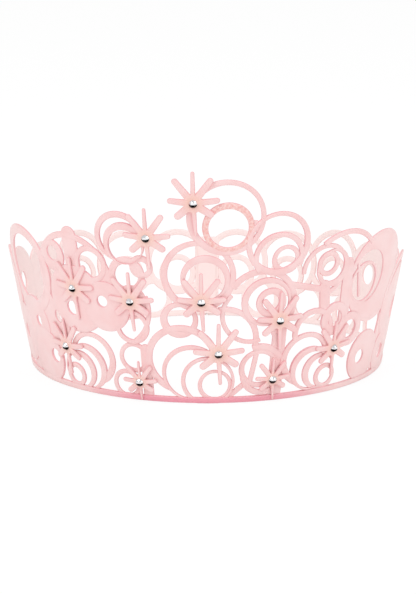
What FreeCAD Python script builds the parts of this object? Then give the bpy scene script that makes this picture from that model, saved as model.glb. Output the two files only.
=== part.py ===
# Openwork crown: one sheet, cut out as fretwork and rolled into a flared ring.
# Millimetres, +Z up. The origin is on the crown's axis in the plane it stands on,
# and the front of the crown faces -Y.
import FreeCAD, Part
import math
import os
from FreeCAD import Vector

os.makedirs("parts", exist_ok=True)
Vector2d = FreeCAD.Base.Vector2d

# Driving dimensions
RIM_RADIUS = 87.5        # outer radius where the crown stands
FLARE_DEG = 10.4         # lean of the wall outward from upright
SHEET = 1.6              # thickness of the fretwork sheet
RIM_HEIGHT = 2.8         # plain edge along the bottom, up the slope
SMALLEST_GAP = 9.0       # area under which a gap between rings stays uncut
BLANK_HEIGHT = 118.0     # height of the blank that the fretwork is cut from
SEAM_GAP = 0.4           # between the two ends of the sheet, at the back
PANEL_WIDTH = 12.0       # plain panel at the back that carries both ends
PANEL_HEIGHT = 42.0
STRIP_WIDTH = 9.0        # strip glued inside over the two ends
STRIP_HEIGHT = 38.0
STRIP_SHEET = 0.8
STRIP_LIFT = 1.0         # strip's lower edge above the crown's
STAR_SHEET = 0.9         # thickness of the stars' sheet
STAR_LIFT = 0.6          # lowest that a star reaches, up the slope
STAR_HUB = 4.6           # radius of a full star's middle
STONE_RADIUS = 1.7
STONE_GIRDLE = 0.35      # height of the stone's upright edge
STONE_HEIGHT = 1.5
STONE_TABLE = 0.9        # radius of the flat top
STONE_SIDES = 12

# Rings of the fretwork. Each has its place (degrees round from the front, mm up the slope),
# outer radius, hole radius, hole offset (round, up) and 1 where its hole also clears what was
# laid before it. Two more values are the first and last angle of a ring that is only an arc.
RIGHT_RINGS = [
    (57.0, 54.3, 23.2, 13.0, -8.0, 1.1, 1),
    (50.6, 52.6, 10.6, 9.2, 0.0, 0.0, 0),
    (57.0, 13.5, 13.0, 3.4, -3.6, 0.0, 0),
    (41.0, 57.0, 25.0, 22.4, 0.0, 0.0, 0, 40, 128),
    (39.8, 37.5, 8.4, 4.2, 0.0, 0.0, 0),
    (46.5, 30.5, 8.8, 4.6, 0.0, 0.0, 0),
    (34.2, 63.2, 13.2, 10.8, 0.0, 0.0, 0, -95, 185),
    (36.9, 63.8, 9.6, 7.4, -1.0, 0.8, 1),
    (35.0, 66.2, 6.4, 3.8, 0.0, 0.0, 1),
    (32.5, 33.0, 11.5, 8.6, 0.0, 0.0, 0),
    (30.8, 19.0, 13.6, 10.3, -0.1, 0.8, 1),
    (32.8, 13.9, 11.0, 9.4, 1.1, -0.9, 1),
    (36.2, 11.6, 9.2, 7.6, 1.7, -0.4, 1),
    (38.9, 8.5, 6.4, 4.0, 0.2, 0.0, 1),
]
LEFT_RINGS = [
    (-63.0, 55.4, 22.4, 16.6, 0.5, 1.0, 1),
    (-63.0, 28.0, 14.0, 2.6, 4.0, 2.0, 0),
    (-74.0, 20.0, 15.0, 3.4, 0.0, 0.0, 0),
    (-58.5, 13.5, 14.0, 3.4, 8.0, 1.0, 0),
    (-52.0, 31.5, 12.5, 3.4, 6.0, 4.6, 0),
    (-40.3, 57.0, 23.7, 20.6, 0.0, 0.0, 0),
    (-47.0, 67.6, 8.0, 3.6, 0.0, 1.0, 1),
    (-33.2, 66.3, 9.2, 6.4, 0.0, 0.0, 1),
    (-39.8, 47.5, 17.0, 3.4, -3.0, -5.0, 1),
    (-29.5, 46.0, 12.6, 2.8, -1.6, 2.4, 1),
    (-36.8, 18.0, 13.4, 10.1, 0.0, 0.7, 1),
    (-39.3, 12.9, 11.7, 10.2, -1.6, -0.7, 1),
    (-42.3, 10.6, 9.9, 8.0, -1.2, -0.7, 1),
    (-44.4, 7.6, 6.2, 3.7, 0.0, -0.1, 1),
]
UPPER_LEFT_RINGS = [
    (-23.5, 81.8, 12.4, 9.9, 0.2, -0.6, 1),
    (-22.2, 78.6, 10.2, 8.4, 0.5, -1.6, 1),
    (-22.2, 62.8, 9.2, 5.8, 0.0, -0.3, 0),
    (-17.8, 67.5, 5.8, 2.8, 0.3, -0.3, 0),
]
TOP_RINGS = [
    (5.0, 92.5, 18.5, 15.6, 0.5, 0.2, 0),
    (5.5, 87.9, 12.1, 9.3, 0.1, -0.4, 1),
]
RIGHT_MIDDLE_RINGS = [
    (19.2, 78.9, 15.8, 13.0, -0.3, 0.6, 0),
    (19.5, 72.0, 12.6, 10.1, 0.7, -1.3, 0, -22, 215),
    (21.6, 70.7, 7.2, 4.6, -0.1, 0.5, 0),
    (15.3, 49.4, 17.8, 14.6, -0.8, 0.0, 0, -70, 150),
    (4.8, 32.0, 16.8, 14.0, 0.0, 0.0, 0, -14, 100),
    (12.6, 44.4, 14.9, 12.7, 0.0, 0.0, 0, 135, 290),
    (16.8, 50.3, 12.2, 9.9, 0.8, -0.6, 1),
    (18.1, 49.8, 7.4, 4.0, -0.3, 0.2, 1),
]
CENTRE_RINGS = [
    (-2.3, 63.8, 17.6, 14.6, 0.2, 0.4, 0),
    (-0.4, 62.8, 11.6, 9.2, -0.1, -1.3, 0),
    (-7.8, 41.8, 9.0, 6.0, 0.5, 0.6, 0),
]
LOWER_CENTRE_RINGS = [
    (-7.4, 22.0, 17.4, 14.0, 0.0, 0.0, 0),
    (-4.5, 15.2, 14.1, 12.4, 0.2, -0.6, 1),
    (0.3, 11.0, 12.6, 10.9, 0.3, 0.0, 1),
    (2.5, 8.6, 8.2, 6.2, 0.0, 0.3, 1),
    (15.7, 16.6, 9.8, 7.3, 0.2, 0.2, 0),
    (15.7, 16.6, 12.8, 9.4, 0.0, 0.0, 0, 20, 110),
    (16.8, 13.7, 10.8, 7.8, 0.0, 0.0, 0, 185, 300),
]
LOWER_LEFT_RINGS = [
    (-28.0, 46.0, 20.6, 18.4, 0.0, 0.0, 0, -55, 20),
    (-21.7, 37.0, 8.6, 6.3, 0.0, 0.0, 0),
    (-21.9, 21.4, 7.8, 5.5, 0.0, 0.0, 0),
    (-24.9, 7.6, 7.4, 5.1, 0.0, 0.0, 0),
]
FRONT_RINGS = (RIGHT_RINGS + LEFT_RINGS + UPPER_LEFT_RINGS + TOP_RINGS + RIGHT_MIDDLE_RINGS
               + CENTRE_RINGS + LOWER_CENTRE_RINGS + LOWER_LEFT_RINGS)

# Straight webs: from place to place (degrees, mm each) and half width.
WEBS = [
    (21.4, 40.0, 21.0, 2.0, 3.6),
    (14.6, 23.5, 13.1, 10.5, 1.3),
    (6.4, 2.6, 11.2, 9.0, 1.4),
    (12.4, 88.4, 12.4, 87.6, 2.6),
    (23.4, 58.0, 34.6, 53.4, 1.6),
    (18.7, 43.6, 20.2, 41.0, 2.2),
    (34.6, 55.0, 35.6, 44.0, 3.0),
    (-21.4, 50.4, -21.4, 48.6, 7.6),
    (-18.2, 26.0, -18.0, 2.0, 2.6),
    (-39.6, 79.0, -39.3, 60.0, 4.6),
    (-30.0, 56.0, -28.0, 60.0, 3.2),
    (-72.0, 36.0, -69.0, 8.0, 6.5),
    (42.6, 64.0, 43.8, 26.0, 3.4),
    (46.6, 64.0, 49.0, 46.5, 0.9),
    (67.0, 30.0, 65.5, 8.0, 5.0),
]

# The back is plain: tall rings with low ones between, on both sides alike. A tall ring has its
# place and its hole, and one with a wide hole has a smaller ring nested in it.
BACK_RINGS = [(98.0, 36.5, 4.5), (116.0, 33.0, 5.0), (134.0, 34.0, 14.3), (152.0, 30.0, 14.3),
              (170.0, 29.0, 14.3)]
BACK_OUTER = 17.5
BACK_NESTED = (10.0, 7.0, -6.0)
BACK_LOW = [89.0, 107.0, 125.0, 143.0, 161.0]
BACK_LOW_RING = (10.2, 10.8, 7.6)
SIDE_RINGS = [
    (79.0, 35.0, 24.0, 20.6, 0.0, 0.0, 0),
    (78.6, 32.6, 21.2, 6.0, 0.0, -2.0, 1),
    (71.0, 11.0, 11.5, 4.0, 0.0, 0.0, 0),
    (-84.0, 41.0, 19.0, 4.0, 0.0, 0.0, 0),
]

# Stars: name, place and size against the full star. The full star's rays: tip (round, up) and
# half width at the middle and at the rounded tip.
STARS = [
    ("top", -3.35, 100.0, 1.0),
    ("upper_left", -15.7, 82.4, 0.95),
    ("mid_left", -21.4, 50.3, 0.95),
    ("centre", -1.5, 51.5, 0.95),
    ("far_left", -39.8, 53.3, 1.0),
    ("far_left_low", -46.2, 22.1, 0.9),
    ("low_left", -20.4, 9.6, 0.7),
    ("low_centre", 3.35, 25.4, 1.0),
    ("mid_right", 20.8, 40.9, 0.95),
    ("low_right", 19.9, 11.1, 0.7),
    ("far_right_low", 40.3, 22.8, 0.9),
]
RAYS = [(-0.1, 14.4, 1.2, 0.9), (7.8, 10.8, 1.9, 1.1), (10.8, 1.3, 1.7, 1.0), (7.8, -5.3, 2.0, 1.3),
        (1.0, -15.0, 1.3, 0.8), (-7.0, -6.3, 2.0, 1.3), (-10.4, 0.9, 1.7, 1.0), (-8.2, 10.3, 1.9, 1.1)]

SIN = math.sin(math.radians(FLARE_DEG))
COS = math.cos(math.radians(FLARE_DEG))
TAN = SIN / COS
RIM_SLANT = RIM_RADIUS / SIN      # from the cone's apex to the rim, on the outer face
CURVE_STEP = 6.0                  # spacing of the points that a rolled curve passes through
CURVE_TURN = math.radians(20.0)   # and the most that it turns from one to the next
TOUCH = 1e-4


# The flat sheet. It is the cone's wall unrolled about its apex, which is the flat origin.
def flat_point(az, up, across=0.0, along=0.0):
    """A point of the flat sheet, offset round and up the slope from (az, up)."""
    angle = math.radians(az) * SIN
    slant = RIM_SLANT + up + along
    x = slant * math.sin(angle) + across * math.cos(angle)
    y = slant * math.cos(angle) - across * math.sin(angle)
    return Vector(x, y, 0)


def disc(az, up, radius, across=0.0, along=0.0):
    centre = flat_point(az, up, across, along)
    return Part.Face(Part.Wire(Part.makeCircle(radius, centre)))


def sector(az_a, az_b, up_a, up_b):
    """A piece of the flat sheet between two angles and two heights."""
    def arc(up, first, last):
        middle = flat_point((first + last) / 2.0, up)
        return Part.Arc(flat_point(first, up), middle, flat_point(last, up)).toShape()
    sides = [arc(up_a, az_a, az_b),
             Part.makeLine(flat_point(az_b, up_a), flat_point(az_b, up_b)),
             arc(up_b, az_b, az_a),
             Part.makeLine(flat_point(az_a, up_b), flat_point(az_a, up_a))]
    return Part.Face(Part.Wire(sides))


def wedge(az, up, radius, first, last):
    """The slice of a disc's surroundings between two angles, counted from level."""
    reach = 1.6 * radius
    steps = max(2, math.ceil((last - first) / 45.0))
    points = [flat_point(az, up)]
    for i in range(steps + 1):
        turn = math.radians(first + (last - first) * i / steps)
        points.append(flat_point(az, up, reach * math.cos(turn), reach * math.sin(turn)))
    points.append(points[0])
    return Part.Face(Part.makePolygon(points))


def bar(a, b, half_a, half_b):
    """A tapered bar with round ends, its sides tangent to both."""
    length = a.distanceToPoint(b)
    along = (b - a) / length
    side = Vector(-along.y, along.x, 0)
    lean = (half_a - half_b) / length
    left = along * lean + side * math.sqrt(1.0 - lean ** 2)
    right = along * lean - side * math.sqrt(1.0 - lean ** 2)
    edges = [Part.Arc(b + right * half_b, b + along * half_b, b + left * half_b).toShape(),
             Part.makeLine(b + left * half_b, a + left * half_a),
             Part.Arc(a + left * half_a, a - along * half_a, a + right * half_a).toShape(),
             Part.makeLine(a + right * half_a, b + right * half_b)]
    return Part.Face(Part.Wire(edges))


def web(az_a, up_a, az_b, up_b, half):
    """A straight web from one place to another."""
    return bar(flat_point(az_a, up_a), flat_point(az_b, up_b), half, half)


def merged(pieces, smallest_gap):
    """Flat faces that touch as one face, with its small gaps filled."""
    joined = Part.makeShell(pieces.Faces).removeSplitter()
    face = max(joined.Faces, key=lambda f: f.Area)
    outline = Part.Face(face.OuterWire)
    gaps = [w for w in face.Wires if not w.isSame(face.OuterWire)]
    gaps = [w for w in gaps if Part.Face(w).Area >= smallest_gap]
    return outline, gaps


def back_rings():
    """The plain rings of the back, mirrored about it."""
    rings = []
    for side in (1, -1):
        for az, up, hole in BACK_RINGS:
            rings.append((side * az, up, BACK_OUTER, hole, 0.0, 0.0, 1))
            if hole > BACK_NESTED[0]:
                outer, hole, lower = BACK_NESTED
                rings.append((side * az, up + lower, outer, hole, 0.0, 0.0, 1))
        for az in BACK_LOW:
            up, outer, hole = BACK_LOW_RING
            rings.append((side * az, up, outer, hole, 0.0, 0.0, 0))
    return rings


def ring_faces(rings):
    """Each ring as a flat face, less the holes of later rings that clear it."""
    faces = []
    for i, ring in enumerate(rings):
        az, up, outer, hole, across, along, clears = ring[:7]
        shape = disc(az, up, outer).cut(disc(az, up, hole, across, along))
        if len(ring) > 7:
            shape = shape.common(wedge(az, up, outer, ring[7], ring[8]))
        centre = flat_point(az, up)
        for later in rings[i + 1:]:
            if not later[6]:
                continue
            hole_centre = flat_point(later[0], later[1], later[4], later[5])
            if centre.distanceToPoint(hole_centre) < outer + later[3]:
                cutter = disc(later[0], later[1], later[3], later[4], later[5])
                shape = shape.cut(cutter)
        faces.extend(shape.Faces)
    return faces


def flat_fretwork():
    """The whole cut sheet, flat."""
    gap_deg = math.degrees(0.5 * SEAM_GAP / RIM_RADIUS)
    panel_deg = math.degrees(0.5 * PANEL_WIDTH / RIM_RADIUS)
    last = 180.0 - gap_deg
    rim = sector(-last, last, 0.0, RIM_HEIGHT)
    panels = [sector(-last, -180.0 + panel_deg, 0.0, PANEL_HEIGHT),
              sector(180.0 - panel_deg, last, 0.0, PANEL_HEIGHT)]
    rings = back_rings() + SIDE_RINGS + FRONT_RINGS
    pieces = ring_faces(rings) + [web(*w) for w in WEBS]
    blank = sector(-last, last, 0.0, BLANK_HEIGHT)
    whole = rim.multiFuse(panels + pieces)
    return merged(whole.common(blank), SMALLEST_GAP)


def flat_star(az, up, size):
    """A star, cut off level where it would reach below the crown."""
    centre = flat_point(az, up)
    hub = disc(az, up, STAR_HUB * size)
    rays = []
    for across, along, root, end in RAYS:
        tip = flat_point(az, up, across * size, along * size)
        rays.append(bar(centre, tip, root * size, end * size))
    star = hub.multiFuse(rays).common(sector(az - 20.0, az + 20.0, STAR_LIFT, BLANK_HEIGHT))
    return merged(star, 0.0)


# Rolling the flat sheet up. A height of 0 is the outer face of the fretwork.
def wall_radius(z, height):
    """Radius at the level z of the cone that lies a height off the outer face."""
    return RIM_RADIUS + height * COS + (z + height * SIN) * TAN


def cone_at(height, start_az):
    """The cone that lies a height off the outer face, opened at the angle start_az."""
    cone = Part.Cone()
    cone.SemiAngle = math.radians(FLARE_DEG)
    cone.Radius = wall_radius(-height * SIN, height)
    cone.Center = Vector(0, 0, -height * SIN)
    turn = FreeCAD.Rotation(Vector(0, 0, 1), start_az - 90.0)
    cone.rotate(FreeCAD.Placement(Vector(0, 0, 0), turn))
    return cone


def rolled_point(flat, height):
    """A flat point's way round and up the cone, both in mm. The lowest edge stays level."""
    az = math.atan2(flat.x, flat.y) / SIN
    up = math.hypot(flat.x, flat.y) - RIM_SLANT
    if up < TOUCH:
        up = height * TAN
    return Vector2d(az * RIM_RADIUS, up)


def traced(wire):
    """A flat wire as runs of points, end to end and anticlockwise."""
    runs = []
    for edge in wire.OrderedEdges:
        ends = [v.Point for v in edge.Vertexes]
        radial = isinstance(edge.Curve, Part.Line) and abs(ends[0].cross(ends[-1]).z) < 0.5
        turn = 0.0 if isinstance(edge.Curve, Part.Line) else edge.Length / edge.Curve.Radius
        steps = max(4, edge.Length / CURVE_STEP, turn / CURVE_TURN)
        runs.append(edge.discretize(Number=2 if radial else math.ceil(steps) + 1))
    if len(runs) > 1:
        ends = (runs[1][0], runs[1][-1])
        if min(runs[0][-1].distanceToPoint(p) for p in ends) > TOUCH:
            runs[0].reverse()
    for before, after in zip(runs, runs[1:]):
        if before[-1].distanceToPoint(after[0]) > TOUCH:
            after.reverse()
    points = [p for run in runs for p in run]
    area = sum(p.x * q.y - q.x * p.y for p, q in zip(points, points[1:] + points[:1]))
    if area < 0:
        runs = [run[::-1] for run in runs[::-1]]
    return runs


def rolled_edge(run, cone, height, start_az):
    """A run of flat points laid on the cone as one edge."""
    curve = Part.Geom2d.BSplineCurve2d()
    if len(run) == 2:
        curve = Part.Geom2d.Line2dSegment(Vector2d(0, 0), Vector2d(1, 0)).toBSpline()
        curve.buildFromPoles([rolled_point(p, height) for p in run], False, 1)
    else:
        curve.interpolate([rolled_point(p, height) for p in run])
    for i, pole in enumerate(curve.getPoles()):
        turn = pole.x / RIM_RADIUS - math.radians(start_az)
        curve.setPole(i + 1, Vector2d(turn, pole.y))
    return curve.toShape(cone)


def cut_face(low_edge, high_edge):
    """The sheet's thickness between two edges, flat where the crown stands on it."""
    if max(low_edge.BoundBox.ZMax, high_edge.BoundBox.ZMax) > 0.1:
        return Part.makeRuledSurface(low_edge, high_edge)
    ends = [(low_edge.valueAt(t), high_edge.valueAt(u))
            for t, u in zip(low_edge.ParameterRange, high_edge.ParameterRange)]
    edges = [low_edge, high_edge] + [Part.makeLine(a, b) for a, b in ends]
    return Part.Face(Part.Wire(Part.sortEdges(edges)[0]))


def rolled(flat, low, high, start_az=-180.0):
    """The solid between two heights over a flat face, rolled up."""
    outline, gaps = flat
    runs = [traced(wire) for wire in [outline.OuterWire] + gaps]
    faces = []
    laid = []
    for height in (low, high):
        cone = cone_at(height, start_az)
        edges = [[rolled_edge(r, cone, height, start_az) for r in wire] for wire in runs]
        face = Part.Face(cone, Part.Wire(edges[0]))
        if gaps:
            face.cutHoles([Part.Wire(hole) for hole in edges[1:]])
            face.validate()
        faces.append(face)
        laid.append(edges)
    for low_wire, high_wire in zip(*laid):
        faces.extend(cut_face(*edges) for edges in zip(low_wire, high_wire))
    shell = Part.makeShell(faces)
    shell.sewShape()
    return Part.makeSolid(shell)


def band():
    return rolled(flat_fretwork(), -SHEET, 0.0)


def strip():
    """The strip inside the back that joins the two ends."""
    half_deg = math.degrees(0.5 * STRIP_WIDTH / RIM_RADIUS)
    flat = sector(180.0 - half_deg, 180.0 + half_deg, STRIP_LIFT, STRIP_LIFT + STRIP_HEIGHT)
    return rolled((flat, []), -SHEET - STRIP_SHEET, -SHEET, 0.0)


def polygon(radius, z):
    """A level polygon with as many sides as the stones have."""
    turns = [2.0 * math.pi * i / STONE_SIDES for i in range(STONE_SIDES + 1)]
    return Part.makePolygon([Vector(radius * math.cos(a), radius * math.sin(a), z) for a in turns])


def stone(az, up):
    """A faceted stone that sits on a star's face at (az, up)."""
    levels = [(STONE_RADIUS, -STAR_SHEET), (STONE_RADIUS, STONE_GIRDLE), (STONE_TABLE, STONE_HEIGHT)]
    blank = Part.makeLoft([polygon(r, z) for r, z in levels], True, True)
    turn = math.radians(az)
    z = up * COS - STAR_SHEET * SIN
    radius = wall_radius(z, STAR_SHEET)
    seat = Vector(radius * math.sin(turn), -radius * math.cos(turn), z)
    outward = Vector(COS * math.sin(turn), -COS * math.cos(turn), -SIN)
    level = Vector(math.cos(turn), math.sin(turn), 0)
    slope = outward.cross(level)
    blank.Placement = FreeCAD.Placement(seat, FreeCAD.Rotation(level, slope, outward, "ZXY"))
    top = BLANK_HEIGHT + STAR_SHEET
    under = Part.makeCone(wall_radius(0, STAR_SHEET), wall_radius(top, STAR_SHEET), top)
    return blank.cut(under)


def crown():
    """Every piece under its name."""
    nodes = {"crown_band": band(), "joining_strip": strip()}
    for name, az, up, size in STARS:
        nodes["star_" + name] = rolled(flat_star(az, up, size), 0.0, STAR_SHEET)
        nodes["rhinestone_" + name] = stone(az, up)
    return nodes


for node, shape in crown().items():
    shape.exportStep("parts/" + node + ".step")
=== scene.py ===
import math

import bmesh
import bpy
from mathutils import Matrix, Vector


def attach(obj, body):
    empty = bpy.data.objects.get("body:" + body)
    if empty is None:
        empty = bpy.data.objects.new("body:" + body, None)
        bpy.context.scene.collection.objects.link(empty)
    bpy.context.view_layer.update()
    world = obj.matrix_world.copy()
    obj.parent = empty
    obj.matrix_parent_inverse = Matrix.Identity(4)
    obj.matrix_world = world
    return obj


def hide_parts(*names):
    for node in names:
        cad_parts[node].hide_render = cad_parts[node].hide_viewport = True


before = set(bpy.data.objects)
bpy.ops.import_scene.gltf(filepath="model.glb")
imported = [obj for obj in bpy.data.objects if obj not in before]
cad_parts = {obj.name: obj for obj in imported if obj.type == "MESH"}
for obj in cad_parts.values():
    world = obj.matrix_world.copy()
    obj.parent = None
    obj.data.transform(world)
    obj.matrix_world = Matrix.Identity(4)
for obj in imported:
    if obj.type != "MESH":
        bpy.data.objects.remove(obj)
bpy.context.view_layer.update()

# The crown's sizes, in mm. Heights over the wall count from the fretwork's outer face.
RIM_RADIUS = 87.5
FLARE_DEG = 10.4
SHEET = 1.6
RIM_HEIGHT = 2.8
SEAM_GAP = 0.4
PANEL_WIDTH = 12.0
PANEL_HEIGHT = 42.0
STAR_SHEET = 0.9
STAR_LIFT = 0.6
STAR_HUB = 4.6
PETAL_SWELL = 0.4        # all but the upright petals are this much wider, to each side, at the tip
UPRIGHT = 2.0            # a petal whose tip lies closer to the star's upright than this is upright
STAR_FOOT = -0.35        # height at which the stars' plates start
PLATE_STEP = 0.012       # each petal's face lies this much below the one before it
STONE_RADIUS = 1.9
STONE_FOOT = -0.3
STONE_GIRDLE = 0.35
STONE_SHOULDER = (1.58, 0.85)    # radius and height of the corners between girdle and table
STONE_HEIGHT = 1.5
STONE_TABLE = 1.0
STONE_DOME = 0.06        # rise of the table's middle over its rim
PAINTED_DARK_BELOW = -0.12       # facets whose middle lies lower on the stone than this are dark, a painted reflection of dark surroundings

# The rings' faces lie at different heights, so that the crossings of rings can be seen.
TOP_HEIGHT = -0.62
TOP_STEP = 0.11
TOP_LEVELS = 6
RIM_TOP = -0.02
PANEL_TOP = -0.3
WEB_TOP = -0.66
APART = 0.004            # keeps faces of crossing plates from lying in one plane
APART_RINGS = 0.0007
PLUG_MARGIN = 0.2        # a cleared hole is cut this much wider than the ring that clears it
ROUNDING = 0.5           # the cut edges' rounding on wide rings
ROUNDING_SHARE = 0.26    # and its most against a ring's width
LONGEST_FACE = 4.0       # wide faces are divided to about this length, so that they bend well
CHORD = 1.6              # of the rings' round edges
EDGE_TURN = 0.9          # radians between two faces that make a cut edge

# Rings of the fretwork. Each has its place (degrees round from the front, mm up the slope),
# outer radius, hole radius, hole offset (round, up) and 1 where its hole also clears what was
# laid before it. Two more values are the first and last angle of a ring that is only an arc.
RIGHT_RINGS = [
    (57.0, 54.3, 23.2, 13.0, -8.0, 1.1, 1),
    (50.6, 52.6, 10.6, 9.2, 0.0, 0.0, 0),
    (57.0, 13.5, 13.0, 3.4, -3.6, 0.0, 0),
    (41.0, 57.0, 25.0, 22.4, 0.0, 0.0, 0, 40, 128),
    (39.8, 37.5, 8.4, 4.2, 0.0, 0.0, 0),
    (46.5, 30.5, 8.8, 4.6, 0.0, 0.0, 0),
    (34.2, 63.2, 13.2, 10.8, 0.0, 0.0, 0, -95, 185),
    (36.9, 63.8, 9.6, 7.4, -1.0, 0.8, 1),
    (35.0, 66.2, 6.4, 3.8, 0.0, 0.0, 1),
    (32.5, 33.0, 11.5, 8.6, 0.0, 0.0, 0),
    (30.8, 19.0, 13.6, 10.3, -0.1, 0.8, 1),
    (32.8, 13.9, 11.0, 9.4, 1.1, -0.9, 1),
    (36.2, 11.6, 9.2, 7.6, 1.7, -0.4, 1),
    (38.9, 8.5, 6.4, 4.0, 0.2, 0.0, 1),
]
LEFT_RINGS = [
    (-63.0, 55.4, 22.4, 16.6, 0.5, 1.0, 1),
    (-63.0, 28.0, 14.0, 2.6, 4.0, 2.0, 0),
    (-74.0, 20.0, 15.0, 3.4, 0.0, 0.0, 0),
    (-58.5, 13.5, 14.0, 3.4, 8.0, 1.0, 0),
    (-52.0, 31.5, 12.5, 3.4, 6.0, 4.6, 0),
    (-40.3, 57.0, 23.7, 20.6, 0.0, 0.0, 0),
    (-47.0, 67.6, 8.0, 3.6, 0.0, 1.0, 1),
    (-33.2, 66.3, 9.2, 6.4, 0.0, 0.0, 1),
    (-39.8, 47.5, 17.0, 3.4, -3.0, -5.0, 1),
    (-29.5, 46.0, 12.6, 2.8, -1.6, 2.4, 1),
    (-36.8, 18.0, 13.4, 10.1, 0.0, 0.7, 1),
    (-39.3, 12.9, 11.7, 10.2, -1.6, -0.7, 1),
    (-42.3, 10.6, 9.9, 8.0, -1.2, -0.7, 1),
    (-44.4, 7.6, 6.2, 3.7, 0.0, -0.1, 1),
]
UPPER_LEFT_RINGS = [
    (-23.5, 81.8, 12.4, 9.9, 0.2, -0.6, 1),
    (-22.2, 78.6, 10.2, 8.4, 0.5, -1.6, 1),
    (-22.2, 62.8, 9.2, 5.8, 0.0, -0.3, 0),
    (-17.8, 67.5, 5.8, 2.8, 0.3, -0.3, 0),
]
TOP_RINGS = [
    (5.0, 92.5, 18.5, 15.6, 0.5, 0.2, 0),
    (5.5, 87.9, 12.1, 9.3, 0.1, -0.4, 1),
]
PEBBLED_RING = TOP_RINGS[1]
RIGHT_MIDDLE_RINGS = [
    (19.2, 78.9, 15.8, 13.0, -0.3, 0.6, 0),
    (19.5, 72.0, 12.6, 10.1, 0.7, -1.3, 0, -22, 215),
    (21.6, 70.7, 7.2, 4.6, -0.1, 0.5, 0),
    (15.3, 49.4, 17.8, 14.6, -0.8, 0.0, 0, -70, 150),
    (4.8, 32.0, 16.8, 14.0, 0.0, 0.0, 0, -14, 100),
    (12.6, 44.4, 14.9, 12.7, 0.0, 0.0, 0, 135, 290),
    (16.8, 50.3, 12.2, 9.9, 0.8, -0.6, 1),
    (18.1, 49.8, 7.4, 4.0, -0.3, 0.2, 1),
]
CENTRE_RINGS = [
    (-2.3, 63.8, 17.6, 14.6, 0.2, 0.4, 0),
    (-0.4, 62.8, 11.6, 9.2, -0.1, -1.3, 0),
    (-7.8, 41.8, 9.0, 6.0, 0.5, 0.6, 0),
]
LOWER_CENTRE_RINGS = [
    (-7.4, 22.0, 17.4, 14.0, 0.0, 0.0, 0),
    (-4.5, 15.2, 14.1, 12.4, 0.2, -0.6, 1),
    (0.3, 11.0, 12.6, 10.9, 0.3, 0.0, 1),
    (2.5, 8.6, 8.2, 6.2, 0.0, 0.3, 1),
    (15.7, 16.6, 9.8, 7.3, 0.2, 0.2, 0),
    (15.7, 16.6, 12.8, 9.4, 0.0, 0.0, 0, 20, 110),
    (16.8, 13.7, 10.8, 7.8, 0.0, 0.0, 0, 185, 300),
]
LOWER_LEFT_RINGS = [
    (-28.0, 46.0, 20.6, 18.4, 0.0, 0.0, 0, -55, 20),
    (-21.7, 37.0, 8.6, 6.3, 0.0, 0.0, 0),
    (-21.9, 21.4, 7.8, 5.5, 0.0, 0.0, 0),
    (-24.9, 7.6, 7.4, 5.1, 0.0, 0.0, 0),
]
FRONT_RINGS = (RIGHT_RINGS + LEFT_RINGS + UPPER_LEFT_RINGS + TOP_RINGS + RIGHT_MIDDLE_RINGS
               + CENTRE_RINGS + LOWER_CENTRE_RINGS + LOWER_LEFT_RINGS)

# Straight webs: from place to place (degrees, mm each) and half width.
WEBS = [
    (21.4, 40.0, 21.0, 2.0, 3.6),
    (14.6, 23.5, 13.1, 10.5, 1.3),
    (6.4, 2.6, 11.2, 9.0, 1.4),
    (12.4, 88.4, 12.4, 87.6, 2.6),
    (23.4, 58.0, 34.6, 53.4, 1.6),
    (18.7, 43.6, 20.2, 41.0, 2.2),
    (34.6, 55.0, 35.6, 44.0, 3.0),
    (-21.4, 50.4, -21.4, 48.6, 7.6),
    (-18.2, 26.0, -18.0, 2.0, 2.6),
    (-39.6, 79.0, -39.3, 60.0, 4.6),
    (-30.0, 56.0, -28.0, 60.0, 3.2),
    (-72.0, 36.0, -69.0, 8.0, 6.5),
    (42.6, 64.0, 43.8, 26.0, 3.4),
    (46.6, 64.0, 49.0, 46.5, 0.9),
    (67.0, 30.0, 65.5, 8.0, 5.0),
]

# The back is plain: tall rings with low ones between, on both sides alike. A tall ring has its
# place and its hole, and one with a wide hole has a smaller ring nested in it.
BACK_RINGS = [(98.0, 36.5, 4.5), (116.0, 33.0, 5.0), (134.0, 34.0, 14.3), (152.0, 30.0, 14.3),
              (170.0, 29.0, 14.3)]
BACK_OUTER = 17.5
BACK_NESTED = (10.0, 7.0, -6.0)
BACK_LOW = [89.0, 107.0, 125.0, 143.0, 161.0]
BACK_LOW_RING = (10.2, 10.8, 7.6)
SIDE_RINGS = [
    (79.0, 35.0, 24.0, 20.6, 0.0, 0.0, 0),
    (78.6, 32.6, 21.2, 6.0, 0.0, -2.0, 1),
    (71.0, 11.0, 11.5, 4.0, 0.0, 0.0, 0),
    (-84.0, 41.0, 19.0, 4.0, 0.0, 0.0, 0),
]

# Stars: name, place and size against the full star. The full star's rays: tip (round, up) and
# half width at the middle and at the rounded tip.
STARS = [
    ("top", -3.35, 100.0, 1.0),
    ("upper_left", -15.7, 82.4, 0.95),
    ("mid_left", -21.4, 50.3, 0.95),
    ("centre", -1.5, 51.5, 0.95),
    ("far_left", -39.8, 53.3, 1.0),
    ("far_left_low", -46.2, 22.1, 0.9),
    ("low_left", -20.4, 9.6, 0.7),
    ("low_centre", 3.35, 25.4, 1.0),
    ("mid_right", 20.8, 40.9, 0.95),
    ("low_right", 19.9, 11.1, 0.7),
    ("far_right_low", 40.3, 22.8, 0.9),
]
RAYS = [(-0.1, 14.4, 1.2, 0.9), (7.8, 10.8, 1.9, 1.1), (10.8, 1.3, 1.7, 1.0), (7.8, -5.3, 2.0, 1.3),
        (1.0, -15.0, 1.3, 0.8), (-7.0, -6.3, 2.0, 1.3), (-10.4, 0.9, 1.7, 1.0), (-8.2, 10.3, 1.9, 1.1)]

SIN = math.sin(math.radians(FLARE_DEG))
COS = math.cos(math.radians(FLARE_DEG))
RIM_SLANT = RIM_RADIUS / SIN      # from the cone's apex to the rim
MM = 0.001


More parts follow.
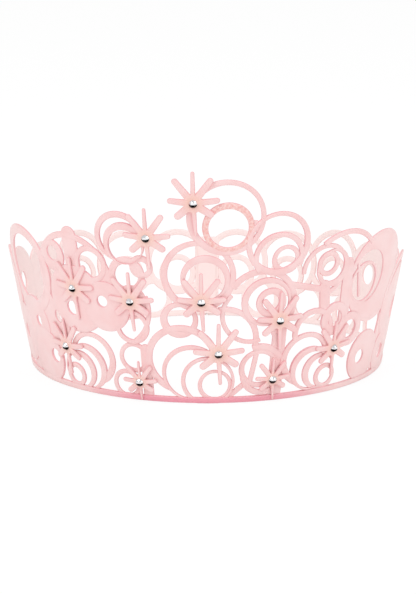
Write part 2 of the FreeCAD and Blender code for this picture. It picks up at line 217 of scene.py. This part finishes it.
# The flat sheet, in mm, about the cone's apex, and its rolling up into the crown in metres.
def flat_frame(az, up):
    """The flat sheet's frame at a place: X runs round the crown, Y up the slope, Z outwards."""
    turn = math.radians(az) * SIN
    slant = RIM_SLANT + up
    place = Vector((slant * math.sin(turn), slant * math.cos(turn), 0.0))
    return Matrix.Translation(place) @ Matrix.Rotation(-turn, 4, "Z")


def roll_up(bm):
    """Bends flat work round the cone."""
    for v in bm.verts:
        az = math.atan2(v.co.x, v.co.y) / SIN
        up = math.hypot(v.co.x, v.co.y) - RIM_SLANT
        radius = RIM_RADIUS + up * SIN + v.co.z * COS
        level = max(0.0, up * COS - v.co.z * SIN)
        v.co = Vector((radius * math.sin(az), -radius * math.cos(az), level)) * MM


def new_object(name, bm):
    """An object of the scene with the mesh bm, which is used up."""
    mesh = bpy.data.meshes.new(name)
    bm.to_mesh(mesh)
    bm.free()
    made = bpy.data.objects.new(name, mesh)
    bpy.context.scene.collection.objects.link(made)
    return made


def thicken(bm, bottom, top):
    """Gives flat faces at zero a thickness between two heights."""
    grown = bmesh.ops.extrude_face_region(bm, geom=bm.faces[:], use_keep_orig=True)
    raised = [g for g in grown["geom"] if isinstance(g, bmesh.types.BMVert)]
    bmesh.ops.translate(bm, verts=raised, vec=(0, 0, top - bottom))
    bmesh.ops.translate(bm, verts=bm.verts[:], vec=(0, 0, bottom))
    bmesh.ops.recalc_face_normals(bm, faces=bm.faces[:])


def soften(bm, radius, segments=2):
    """Rounds the sharp edges."""
    sharp = [e for e in bm.edges if len(e.link_faces) == 2 and e.calc_face_angle() > EDGE_TURN]
    bmesh.ops.bevel(bm, geom=sharp, offset=radius, segments=segments, profile=0.5,
                    affect="EDGES", material=-1, clamp_overlap=True)


def ring_plate(ring, bottom, top):
    """One ring of the fretwork as a flat plate with rounded edges."""
    az, up, outer, hole, across, along = ring[:6]
    bm = bmesh.new()
    steps = max(24, math.ceil(2.0 * math.pi * outer / CHORD))
    if len(ring) > 7:
        first, last = ring[7:]
        ends = [bm.verts.new((hole, 0, 0)), bm.verts.new((outer, 0, 0))]
        line = bm.edges.new(ends)
        bmesh.ops.rotate(bm, verts=ends, cent=(0, 0, 0),
                         matrix=Matrix.Rotation(math.radians(first), 3, "Z"))
        bmesh.ops.spin(bm, geom=ends + [line], cent=(0, 0, 0), axis=(0, 0, 1),
                       angle=math.radians(last - first),
                       steps=max(8, round(steps * (last - first) / 360.0)))
    else:
        bmesh.ops.create_circle(bm, segments=steps, radius=outer)
        bmesh.ops.create_circle(bm, segments=steps, radius=hole,
                                matrix=Matrix.Translation((across, along, 0)))
        bmesh.ops.bridge_loops(bm, edges=bm.edges[:])
    width = outer - hole
    if width > 1.25 * LONGEST_FACE:
        rim = {v for v in bm.verts if v.co.length > outer - 0.01}
        rays = [e for e in bm.edges if (e.verts[0] in rim) != (e.verts[1] in rim)]
        bmesh.ops.subdivide_edges(bm, edges=rays, cuts=math.ceil(width / LONGEST_FACE) - 1,
                                  use_grid_fill=True)
    thicken(bm, bottom, top)
    soften(bm, min(ROUNDING, ROUNDING_SHARE * width))
    bm.transform(flat_frame(az, up))
    return bm


def hole_cutter(ring):
    """A plug for a ring's hole, a little wider, so that what it clears ends inside the ring."""
    az, up, outer, hole, across, along = ring[:6]
    radius = hole + PLUG_MARGIN
    bm = bmesh.new()
    bmesh.ops.create_cone(bm, cap_ends=True, segments=72, radius1=radius, radius2=radius,
                          depth=5.0 * SHEET, matrix=Matrix.Translation((across, along, 0)))
    bm.transform(flat_frame(az, up))
    return bm


def bar_plate(a, b, half_a, half_b, bottom, top, rounding, segments=2):
    """A flat bar with round ends between two flat points."""
    run = b - a
    bm = bmesh.new()
    bmesh.ops.create_circle(bm, cap_ends=True, segments=20, radius=1.0)
    bmesh.ops.rotate(bm, verts=bm.verts[:], cent=(0, 0, 0),
                     matrix=Matrix.Rotation(math.pi / 20, 3, "Z"))
    far = Vector((run.length, 0, 0))
    for v in bm.verts:
        v.co = v.co * half_a if v.co.x < 0 else v.co * half_b + far
    sides = [e for e in bm.edges if abs(e.verts[0].co.x - e.verts[1].co.x) > 0.6 * run.length]
    bmesh.ops.subdivide_edges(bm, edges=sides, cuts=max(1, math.ceil(run.length / LONGEST_FACE)),
                              use_grid_fill=True)
    thicken(bm, bottom, top)
    soften(bm, rounding, segments)
    turn = Matrix.Rotation(math.atan2(run.y, run.x), 4, "Z")
    bm.transform(Matrix.Translation(a) @ turn)
    return bm


def band_plate(az_a, az_b, up_a, up_b, bottom, top, rounding):
    """A plain stretch of the sheet between two angles and two heights."""
    bm = bmesh.new()
    turn = math.radians(az_a) * SIN
    ends = [bm.verts.new((s * math.sin(turn), s * math.cos(turn), 0))
            for s in (RIM_SLANT + up_a, RIM_SLANT + up_b)]
    line = bm.edges.new(ends)
    steps = max(2, round(abs(az_b - az_a) / 2.0))
    bmesh.ops.spin(bm, geom=ends + [line], cent=(0, 0, 0), axis=(0, 0, 1),
                   angle=-math.radians(az_b - az_a) * SIN, steps=steps)
    thicken(bm, bottom, top)
    soften(bm, rounding)
    return bm


def back_rings():
    """The plain rings of the back, mirrored about it."""
    rings = []
    for side in (1, -1):
        for az, up, hole in BACK_RINGS:
            rings.append((side * az, up, BACK_OUTER, hole, 0.0, 0.0, 1))
            if hole > BACK_NESTED[0]:
                outer, hole, lower = BACK_NESTED
                rings.append((side * az, up + lower, outer, hole, 0.0, 0.0, 1))
        for az in BACK_LOW:
            up, outer, hole = BACK_LOW_RING
            rings.append((side * az, up, outer, hole, 0.0, 0.0, 0))
    return rings


def crossed_by(ring, later):
    """Whether a later ring's cleared hole reaches into this ring."""
    a = flat_frame(ring[0], ring[1]).translation
    b = flat_frame(later[0], later[1]) @ Vector((later[4], later[5], 0))
    return later[6] and (a - b).length < ring[2] + later[3]


def fretwork_plates():
    """Every ring, web and plain stretch of the band, flat, as loose plates."""
    rings = back_rings() + SIDE_RINGS + FRONT_RINGS
    made = []
    plugs = {}
    for i, ring in enumerate(rings):
        top = TOP_HEIGHT + TOP_STEP * (i % TOP_LEVELS) - APART_RINGS * i
        plate = new_object("plate", ring_plate(ring, -SHEET + APART * (i % 9), top))
        for j, later in enumerate(rings[i + 1:], i + 1):
            if crossed_by(ring, later):
                if j not in plugs:
                    plugs[j] = new_object("plug", hole_cutter(later))
                cut = plate.modifiers.new("clear", "BOOLEAN")
                cut.operation = "DIFFERENCE"
                cut.solver = "MANIFOLD"
                cut.object = plugs[j]
        made.append(plate)
    for i, (az_a, up_a, az_b, up_b, half) in enumerate(WEBS):
        a = flat_frame(az_a, up_a).translation
        b = flat_frame(az_b, up_b).translation
        bm = bar_plate(a, b, half, half, -SHEET + 0.01, WEB_TOP + APART * i, 0.45)
        made.append(new_object("plate", bm))
    gap_deg = math.degrees(0.5 * SEAM_GAP / RIM_RADIUS)
    panel_deg = math.degrees(0.5 * PANEL_WIDTH / RIM_RADIUS)
    last = 180.0 - gap_deg
    rim = band_plate(-last, last, 0.0, RIM_HEIGHT, -SHEET, RIM_TOP, 0.4)
    made.append(new_object("plate", rim))
    for side in (-1, 1):
        panel = band_plate(side * (180.0 - panel_deg), side * last, 0.2, PANEL_HEIGHT,
                           -SHEET, PANEL_TOP, 0.4)
        made.append(new_object("plate", panel))
    return made, list(plugs.values())


def gather(plates, name):
    """The plates, modifiers applied, as one rolled object. Slot 0 is faces, slot 1 cut edges."""
    graph = bpy.context.evaluated_depsgraph_get()
    bm = bmesh.new()
    for plate in plates:
        mesh = bpy.data.meshes.new_from_object(plate.evaluated_get(graph))
        bm.from_mesh(mesh)
        bpy.data.meshes.remove(mesh)
    bmesh.ops.triangulate(bm, faces=[f for f in bm.faces if len(f.verts) > 4])
    bm.normal_update()
    for f in bm.faces:
        f.smooth = True
        # Slot 1, the rounded and cut sides, takes the darker edge pinks: painted shade.
        f.material_index = 0 if abs(f.normal.z) > 0.8 else 1
    roll_up(bm)
    made = new_object(name, bm)
    made.data.set_sharp_from_angle(angle=math.radians(50.0))
    return made


def clear_away(objects):
    """Removes working objects with their meshes."""
    for o in objects:
        mesh = o.data
        bpy.data.objects.remove(o)
        bpy.data.meshes.remove(mesh)


# Materials. Places are in metres.
WARM = "#fbc8b0"
PAINTED_BACKLIGHT_Y = (-0.085, 0.04)      # the sheet fades from its front colours to the pale back between these, painted light for the light that passes through the sides and back
PAINTED_RIM_SHADE_Z = (0.0034, 0.0022)     # the rim's painted shade, a deeper pink for its coloured contact shadow, starts and is full at these heights
PAINTED_RIM_SHADE_Y = (-0.066, -0.084)     # and this far to the front

# Colours (two clouded, the back's painted light, the rim's painted shade), size of clouds and grain in
# mm, depth of grain in mm
SHEETS = {
    "frosted_pink_sheet": ("#fbd9d8", "#f9cecd", "#fdebe8", "#f3a5b4", 11.0, 1.1, 0.05),
    # The edge sheets are darker pinks: painted shade on the rounded and cut sides.
    "frosted_pink_edge_painted_shade": ("#f4bcc0", "#f2b4b9", "#fadad7", "#f094a6", 11.0, 1.1, 0.03),
    "pebbled_pink_sheet": ("#fddad5", "#f5b6b0", "#fbcfc9", "#f3a5b4", 1.2, 1.3, 0.6),
    "blush_star_sheet": ("#fbdad8", "#f9d0cf", "#fcdeda", "#f9d0cf", 11.0, 0.8, 0.04),
    "blush_star_edge_painted_shade": ("#f7c6c8", "#f5bcc0", "#f9d2ce", "#f5bcc0", 11.0, 0.8, 0.03),
}


def linear(code):
    """An sRGB hex colour as linear RGBA."""
    values = [int(code[i:i + 2], 16) / 255.0 for i in (1, 3, 5)]
    return [v / 12.92 if v <= 0.04045 else ((v + 0.055) / 1.055) ** 2.4 for v in values] + [1.0]


def node(tree, kind, settings=None, **inputs):
    """Adds a node. An input is a value, or an output socket to link from."""
    made = tree.nodes.new(kind)
    for key, value in (settings or {}).items():
        setattr(made, key, value)
    for key, value in inputs.items():
        socket = made.inputs[int(key[1:])] if key[0] == "_" else made.inputs[key.replace("_", " ")]
        if isinstance(value, bpy.types.NodeSocket):
            tree.links.new(value, socket)
        else:
            socket.default_value = value
    return made


def new_material(name):
    """An empty node material and its tree."""
    made = bpy.data.materials.new(name)
    made.use_nodes = True
    made.node_tree.nodes.clear()
    return made, made.node_tree


def noise(tree, place, size_mm, detail):
    return node(tree, "ShaderNodeTexNoise", Vector=place, Scale=1.0 / (size_mm * MM), Detail=detail)


def ramp(tree, value, first, last):
    """A value's way from first to last, from 0 to 1."""
    return node(tree, "ShaderNodeMapRange", Value=value, From_Min=first, From_Max=last).outputs[0]


def blend(tree, share, one, other):
    """Two colours mixed. Each is a value or an output."""
    return node(tree, "ShaderNodeMix", {"data_type": "RGBA"}, _0=share, _6=one, _7=other).outputs[2]


def frosted_sheet(name, pale, deep, far, rim, cloud_mm, grain_mm, grain_depth):
    """Thin frosted sheet, which scatters light softly and takes a faint sheen.

    It is clouded between two pinks at the front. Towards the sides and back it fades to a paler pink,
    painted light for the light that passes through the sheet there. Low along the front of the rim it
    turns a deeper pink, painted shade for its coloured contact shadow. It is warm towards the stars'
    middles. Its fine grain breaks up the sheen.
    """
    made, tree = new_material(name)
    place = node(tree, "ShaderNodeTexCoord").outputs["Object"]
    x_y_z = node(tree, "ShaderNodeSeparateXYZ", Vector=place).outputs
    clouds = ramp(tree, noise(tree, place, cloud_mm, 3.0).outputs[0], 0.35, 0.65)
    warmth = node(tree, "ShaderNodeAttribute", {"attribute_name": "warmth"}).outputs["Fac"]
    colour = blend(tree, clouds, linear(pale), linear(deep))
    colour = blend(tree, warmth, colour, linear(WARM))
    # Painted light: paler towards the sides and back, for the light passing through the sheet there.
    colour = blend(tree, ramp(tree, x_y_z[1], *PAINTED_BACKLIGHT_Y), colour, linear(far))
    # Painted shade: a deeper pink low along the front of the rim, for its coloured contact shadow.
    low = ramp(tree, x_y_z[2], *PAINTED_RIM_SHADE_Z)
    front = ramp(tree, x_y_z[1], *PAINTED_RIM_SHADE_Y)
    rim_shade_share = node(tree, "ShaderNodeMath", {"operation": "MULTIPLY"}, _0=low, _1=front)
    colour = blend(tree, rim_shade_share.outputs[0], colour, linear(rim))
    grain = noise(tree, place, grain_mm, 2.0)
    bump = node(tree, "ShaderNodeBump", Strength=0.5, Distance=grain_depth * MM,
                Height=grain.outputs[0])
    skin = node(tree, "ShaderNodeBsdfPrincipled", Base_Color=colour, Roughness=0.5, IOR=1.45,
                Normal=bump.outputs[0])
    node(tree, "ShaderNodeOutputMaterial", Surface=skin.outputs[0])
    return made


def silvered_glass(name, colour):
    """Cut glass with a silvered back, which mirrors the room sharply in small facets."""
    made, tree = new_material(name)
    skin = node(tree, "ShaderNodeBsdfPrincipled", Base_Color=linear(colour), Roughness=0.08,
                Metallic=1.0)
    node(tree, "ShaderNodeOutputMaterial", Surface=skin.outputs[0])
    return made


def dress(piece, materials, replaced):
    """Gives a piece its materials, hangs it on the root body, and hides the CAD nodes it stands for.
    """
    for m in materials:
        piece.data.materials.append(m)
    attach(piece, "root")
    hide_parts(*replaced)


# Stars and stones
WARMEST = 0.85       # share of the warm colour at a star's middle
WARM_REACH = 7.5     # mm over which the share falls by one


def star(name, az, up, size):
    """A star of eight tapered petals about a round middle, cut level at the crown's foot."""
    middle = flat_frame(az, up)
    plates = []
    for i, (across, along, root, end) in enumerate(RAYS):
        tip = Vector((across * size, along * size, 0))
        reach = STAR_LIFT + end * size - up
        if tip.y < reach:
            tip = tip * (reach / tip.y)
        fuller = 0.0 if abs(across) < UPRIGHT else PETAL_SWELL
        bm = bar_plate(middle @ Vector(), middle @ tip, root * size, end * size + fuller,
                       STAR_FOOT, STAR_SHEET - PLATE_STEP * i, 0.6, 3)
        plates.append(new_object("plate", bm))
    bm = bmesh.new()
    bmesh.ops.create_circle(bm, cap_ends=True, segments=40, radius=STAR_HUB * size)
    thicken(bm, STAR_FOOT, STAR_SHEET - 0.1)
    soften(bm, 0.55, 3)
    bm.transform(middle)
    plates.append(new_object("plate", bm))
    made = gather(plates, "cut_star_" + name)
    clear_away(plates)
    warm_middle(made, place_on_wall(az, up), WARM_REACH * size)
    return made


def warm_middle(made, seat, reach):
    """Stores how warm the sheet's colour is, which falls off away from a star's middle."""
    warmth = made.data.attributes.new("warmth", "FLOAT", "POINT")
    for v, value in zip(made.data.vertices, warmth.data):
        value.value = max(0.0, WARMEST - (v.co - seat).length / (reach * MM))


def place_on_wall(az, up):
    """The place of (az, up) on the outer face of the stars, in metres."""
    turn = math.radians(az)
    level = up * COS - STAR_SHEET * SIN
    radius = RIM_RADIUS + up * SIN + STAR_SHEET * COS
    return Vector((radius * math.sin(turn), -radius * math.cos(turn), level)) * MM


def stone(name, az, up):
    """A cut stone on a star's middle, its lower facets dark with a painted reflection."""
    bm = bmesh.new()
    rows = [(16, STONE_RADIUS, STONE_FOOT, 0.0), (16, STONE_RADIUS, STONE_GIRDLE, 0.0),
            (8, *STONE_SHOULDER, 22.5), (8, STONE_TABLE, STONE_HEIGHT - STONE_DOME, 0.0)]
    for count, radius, level, turn in rows:
        matrix = Matrix.Translation((0, 0, level)) @ Matrix.Rotation(math.radians(turn), 4, "Z")
        bmesh.ops.create_circle(bm, segments=count, radius=radius, matrix=matrix)
    bm.verts.new((0, 0, STONE_HEIGHT))
    hull = bmesh.ops.convex_hull(bm, input=bm.verts[:])
    inside = hull["geom_interior"] + hull["geom_unused"]
    loose = [g for g in inside if isinstance(g, bmesh.types.BMVert)]
    bmesh.ops.delete(bm, geom=loose, context="VERTS")
    bmesh.ops.recalc_face_normals(bm, faces=bm.faces[:])
    bm.normal_update()
    for f in bm.faces:
        # Painted reflection: the lower facets take the near-black silvering.
        f.material_index = 1 if f.calc_center_median().y < PAINTED_DARK_BELOW else 0
    bm.transform(Matrix.Scale(MM, 4))
    turn = Matrix.Rotation(math.radians(az), 4, "Z")
    lean = turn @ Matrix.Rotation(math.radians(90.0 + FLARE_DEG), 4, "X")
    bm.transform(Matrix.Translation(place_on_wall(az, up)) @ lean)
    return new_object("cut_stone_" + name, bm)


def crown():
    """Every piece of the crown, dressed. The joining strip keeps its own shape."""
    plates, plugs = fretwork_plates()
    rings = back_rings() + SIDE_RINGS + FRONT_RINGS
    rough = plates.pop(rings.index(PEBBLED_RING))
    band = gather(plates, "fretwork")
    beads = gather([rough], "pebbled_ring")
    clear_away(plates + plugs + [rough])
    # The edge sheets' darker pinks are painted shade on the rounded and cut sides.
    face, shaded_edge, pebbled, star_face, shaded_star_edge = [frosted_sheet(n, *v) for n, v in SHEETS.items()]
    dress(band, [face, shaded_edge], ["crown_band"])
    dress(beads, [pebbled, shaded_edge], ["crown_band"])
    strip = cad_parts["joining_strip"].data.materials
    strip.clear()
    strip.append(face)
    bright = silvered_glass("silvered_cut_glass", "#f2f2f4")
    # Painted reflection: near black, for the dark that the lower facets would mirror.
    painted_dark_facets = silvered_glass("silvered_cut_glass_painted_dark_reflection", "#070607")
    for name, az, up, size in STARS:
        dress(star(name, az, up, size), [star_face, shaded_star_edge], ["star_" + name])
        dress(stone(name, az, up), [bright, painted_dark_facets], ["rhinestone_" + name])


# Room, light and camera
WHITE = linear("#ffffff")
FLOOR_DROP = 0.0002          # m that the floor lies below the crown
FLOOR_SHARE = 0.85           # share of the floor's white that the camera sees without its shading
CAMERA_DISTANCE = 1.2
CAMERA_TILT = math.radians(13.2)
CAMERA_AIM = Vector((0.00055, 0.0, 0.0304))


def sky():
    """Soft light from all round. The camera sees it as plain white."""
    world = bpy.data.worlds.new("room")
    bpy.context.scene.world = world
    world.use_nodes = True
    tree = world.node_tree
    tree.nodes.clear()
    path = node(tree, "ShaderNodeLightPath")
    soft = node(tree, "ShaderNodeBackground", Color=WHITE, Strength=0.68)
    seen = node(tree, "ShaderNodeBackground", Color=WHITE, Strength=1.0)
    mix = node(tree, "ShaderNodeMixShader", _0=path.outputs["Is Camera Ray"], _1=soft.outputs[0],
               _2=seen.outputs[0])
    node(tree, "ShaderNodeOutputWorld", Surface=mix.outputs[0])


def floor():
    """A pale floor that keeps a faint shadow."""
    bm = bmesh.new()
    bmesh.ops.create_circle(bm, cap_ends=True, segments=64, radius=3.0)
    bmesh.ops.translate(bm, verts=bm.verts[:], vec=(0, 0, -FLOOR_DROP))
    made = new_object("floor", bm)
    pale, tree = new_material("pale_floor")
    skin = node(tree, "ShaderNodeBsdfDiffuse", Color=linear("#fdfdfd"))
    glow = node(tree, "ShaderNodeEmission", Color=WHITE, Strength=1.03)
    path = node(tree, "ShaderNodeLightPath")
    share = node(tree, "ShaderNodeMath", {"operation": "MULTIPLY"},
                 _0=path.outputs["Is Camera Ray"], _1=FLOOR_SHARE)
    mix = node(tree, "ShaderNodeMixShader", _0=share.outputs[0], _1=skin.outputs[0],
               _2=glow.outputs[0])
    node(tree, "ShaderNodeOutputMaterial", Surface=mix.outputs[0])
    made.data.materials.append(pale)


def lamp(name, place, aim, size, watts):
    """A square soft lamp. Places and size are in metres."""
    light = bpy.data.lights.new(name, "AREA")
    light.size = size
    light.energy = watts
    made = bpy.data.objects.new(name, light)
    made.location = place
    made.rotation_euler = (Vector(aim) - Vector(place)).to_track_quat("-Z", "Y").to_euler()
    bpy.context.scene.collection.objects.link(made)


def camera():
    """The camera at the photograph's viewing angle."""
    lens = bpy.data.cameras.new("camera")
    lens.lens = 145.9
    lens.clip_end = 20.0
    made = bpy.data.objects.new("camera", lens)
    away = Vector((0, -math.cos(CAMERA_TILT), math.sin(CAMERA_TILT)))
    made.location = CAMERA_AIM + CAMERA_DISTANCE * away
    made.rotation_euler = (math.radians(90.0) - CAMERA_TILT, 0, 0)
    bpy.context.scene.collection.objects.link(made)
    bpy.context.scene.camera = made


crown()
sky()
floor()
lamp("key", (-0.7, -0.8, 1.0), (0, 0, 0.04), 0.7, 4.4)
lamp("fill", (0.9, -0.5, 0.7), (0, 0, 0.04), 0.8, 2.6)
lamp("above", (0.0, 0.3, 1.6), (0, 0, 0.0), 1.0, 3.8)
camera()
bpy.context.scene.view_settings.view_transform = "Standard"
